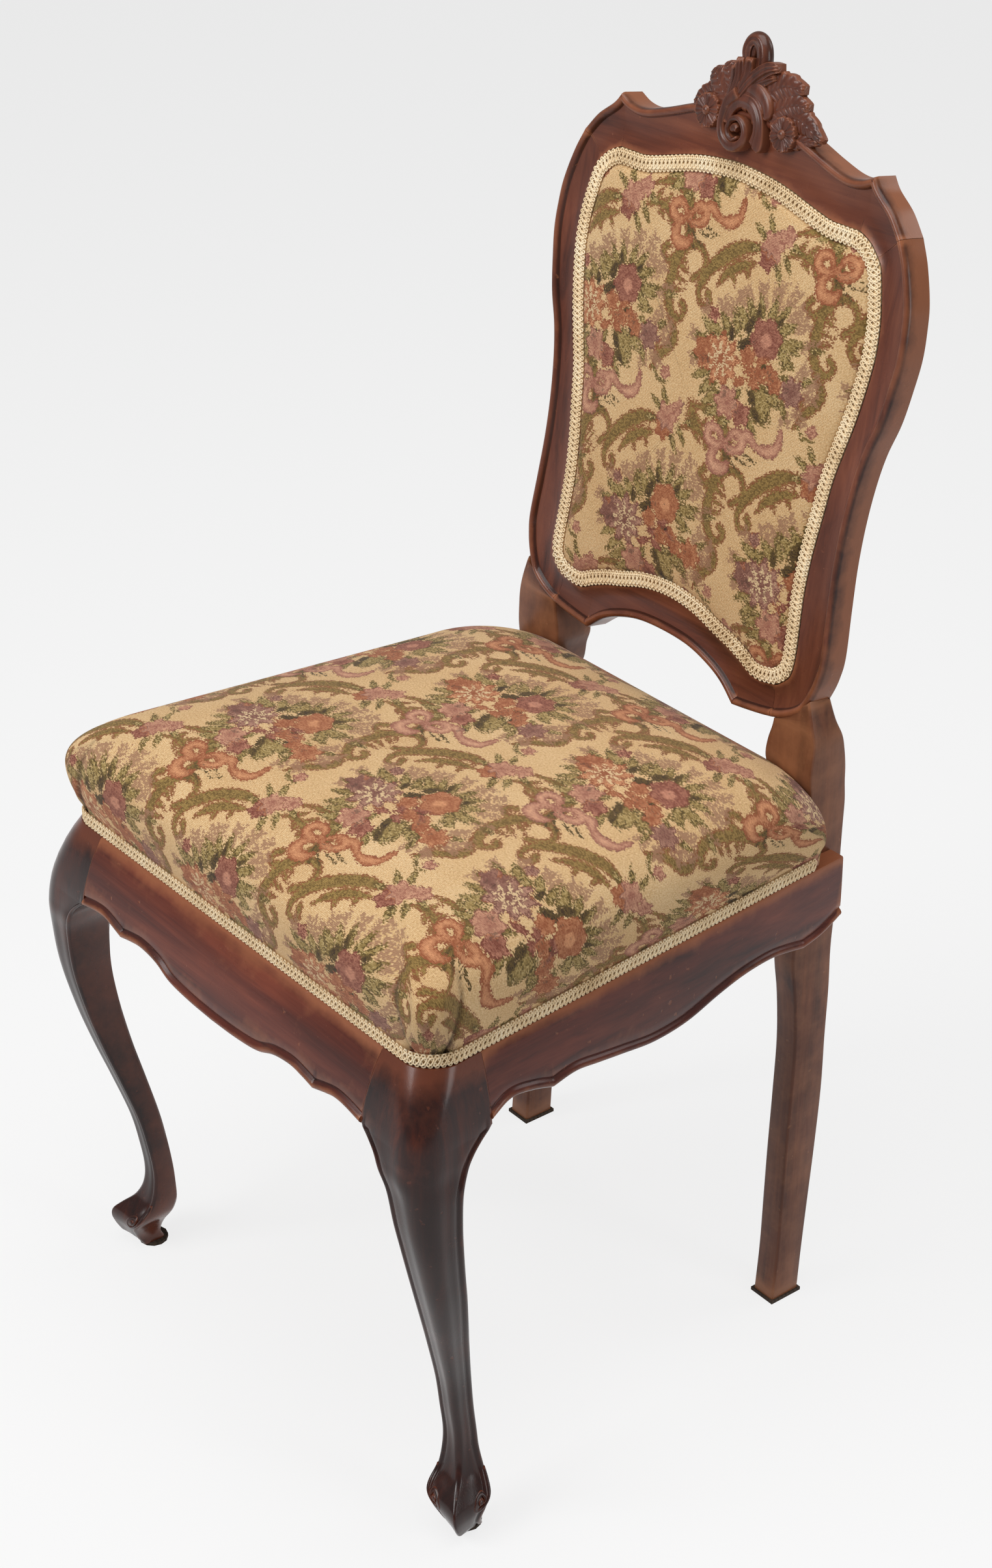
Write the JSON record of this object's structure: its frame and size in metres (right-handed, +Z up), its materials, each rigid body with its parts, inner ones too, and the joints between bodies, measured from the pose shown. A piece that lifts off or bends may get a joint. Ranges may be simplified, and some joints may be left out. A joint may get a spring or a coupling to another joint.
{
  "type": "upholstered side chair",
  "caption": "Carved wooden side chair with cabriole front legs, shaped aprons and a raked shaped back, its seat and back panel upholstered in floral tapestry and edged with gimp.",
  "frame": {"origin": "on the floor under the middle of the chair's box", "axes": "+Z up, -Y is the front of the chair, +X is the sitter's left"},
  "size_m": [0.4988, 0.5156, 1.0172],
  "materials": {
    "polished_wood": "french polished mahogany brown",
    "plain_wood": "plain unpolished beech",
    "dowel_wood": "plain dowel",
    "screw_steel": "dull steel",
    "jute_webbing": "woven jute",
    "hessian_cloth": "open hessian weave",
    "stuffing": "cotton felt over fibre",
    "tapestry": "ribbed tapestry with woven flowers and scrolls",
    "back_lining": "plain ribbed cloth",
    "gimp_braid": "cream braid with scalloped edges",
    "felt": "worn felt"
  },
  "bodies": {
    "root": {"front_leg_left": "polished_wood", "front_leg_right": "polished_wood", "front_seat_rail": "polished_wood", "side_seat_rail_left": "polished_wood", "side_seat_rail_right": "polished_wood", "crest_rail": "polished_wood", "lower_back_rail": "polished_wood", "stile_left": "polished_wood", "stile_right": "polished_wood", "crest_carving": "polished_wood", "rear_leg_left": "polished_wood", "rear_leg_right": "polished_wood", "rear_seat_rail": "plain_wood", "front_corner_blocks": "plain_wood", "rear_corner_blocks": "plain_wood", "seat_frame_dowels": "dowel_wood", "back_frame_dowels": "dowel_wood", "corner_block_screws": "screw_steel", "seat_webbing": "jute_webbing", "seat_hessian": "hessian_cloth", "back_hessian": "hessian_cloth", "seat_stuffing": "stuffing", "back_stuffing": "stuffing", "seat_cover": "tapestry", "back_cover": "tapestry", "outside_back_cover": "back_lining", "seat_gimp": "gimp_braid", "rear_seat_gimp": "gimp_braid", "back_gimp": "gimp_braid", "outside_back_gimp": "gimp_braid", "front_felt_pads": "felt", "rear_felt_pads": "felt"}
  },
  "joints": []
}
